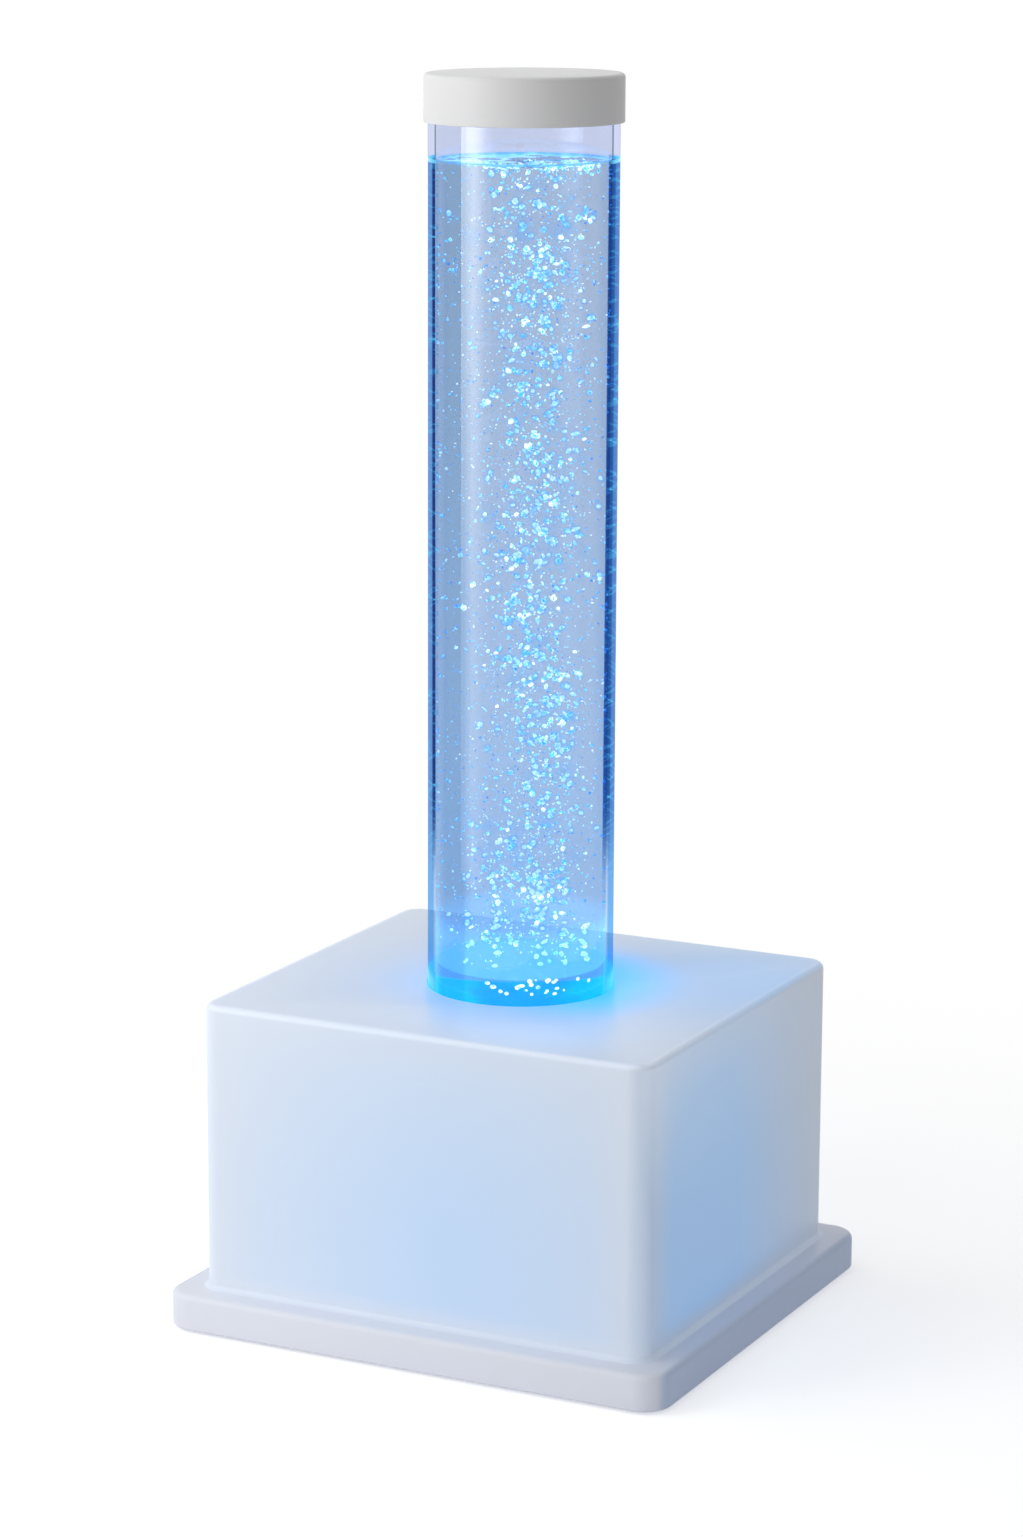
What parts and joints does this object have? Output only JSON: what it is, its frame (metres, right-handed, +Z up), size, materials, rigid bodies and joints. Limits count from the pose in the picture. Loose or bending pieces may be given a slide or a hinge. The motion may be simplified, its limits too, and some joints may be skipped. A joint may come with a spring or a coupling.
{
  "type": "led bubble tube",
  "caption": "Clear water-filled tube with a white lid and rising lit bubbles, standing in a square opal light box on a wider plate, with rear socket, rocker switch and colour button.",
  "frame": {"origin": "under the middle of the base plate, level with the soles of the four rubber feet", "axes": "+Z up along the tube, +Y to the rear, where the socket, switch and button are, +X to the right seen from the front"},
  "size_m": [0.293, 0.273, 0.665],
  "materials": {
    "opal_plastic": "satin",
    "white_cap": "satin",
    "white_plastic": "satin",
    "grey_plastic": "matte",
    "clear_acrylic": "polished",
    "lit_acrylic": "polished",
    "water": "polished",
    "rubber": "matte",
    "silicone": "satin",
    "steel": "satin",
    "aluminium": "satin",
    "brass": "satin",
    "board_white": "satin",
    "board_green": "satin",
    "black_plastic": "satin",
    "lead_sheath": "satin"
  },
  "bodies": {
    "lamp": {"base_plate": "opal_plastic", "base_housing": "opal_plastic", "bottom_cover": "grey_plastic", "foot_1": "rubber", "foot_2": "rubber", "foot_3": "rubber", "foot_4": "rubber", "cover_screw_1": "steel", "cover_screw_2": "steel", "cover_screw_3": "steel", "cover_screw_4": "steel", "housing_screw_1": "steel", "housing_screw_2": "steel", "housing_screw_3": "steel", "housing_screw_4": "steel", "stand_screw_1": "steel", "stand_screw_2": "steel", "stand_screw_3": "steel", "stand_screw_4": "steel", "tube_stand": "white_plastic", "led_board": "board_white", "led_window": "clear_acrylic", "heat_sink": "aluminium", "heat_sink_screw_1": "steel", "heat_sink_screw_2": "steel", "bubble_tube": "clear_acrylic", "tube_floor": "lit_acrylic", "bubble_plate": "lit_acrylic", "water_column": "water", "air_inlet": "brass", "inlet_seal": "rubber", "inlet_nut": "brass", "check_valve": "silicone", "upper_air_hose": "silicone", "lower_air_hose": "silicone", "pump_motor": "steel", "pump_head": "black_plastic", "pump_cradle": "white_plastic", "pump_strap": "steel", "strap_screw_1": "steel", "strap_screw_2": "steel", "pump_damper_1": "rubber", "pump_damper_2": "rubber", "pump_damper_3": "rubber", "pump_damper_4": "rubber", "control_board": "board_green", "power_jack": "black_plastic", "jack_nut": "steel", "switch_body": "black_plastic", "button_body": "black_plastic", "button_nut": "steel", "jack_lead": "lead_sheath", "switch_lead": "lead_sheath", "button_lead": "lead_sheath", "led_lead": "lead_sheath", "pump_lead": "lead_sheath"},
    "lid": {"cap": "white_cap", "cap_cushion": "silicone"},
    "rocker": {"power_rocker": "black_plastic"},
    "button": {"colour_button": "white_plastic"}
  },
  "joints": [
    {"name": "cap_lift", "type": "slide", "parent": "lamp", "child": "lid", "axis": [0, 0, 1], "range_m": [0, 0.05]},
    {"name": "rocker_tilt", "type": "hinge", "parent": "lamp", "child": "rocker", "pos_m": [0, 0.1217, 0.048], "axis": [1, 0, 0], "range_deg": [-20, 0]},
    {"name": "button_press", "type": "slide", "parent": "lamp", "child": "button", "axis": [0, -1, 0], "range_m": [0, 0.0015], "stiffness_N_per_m": 300, "springref_m": -0.0015}
  ]
}
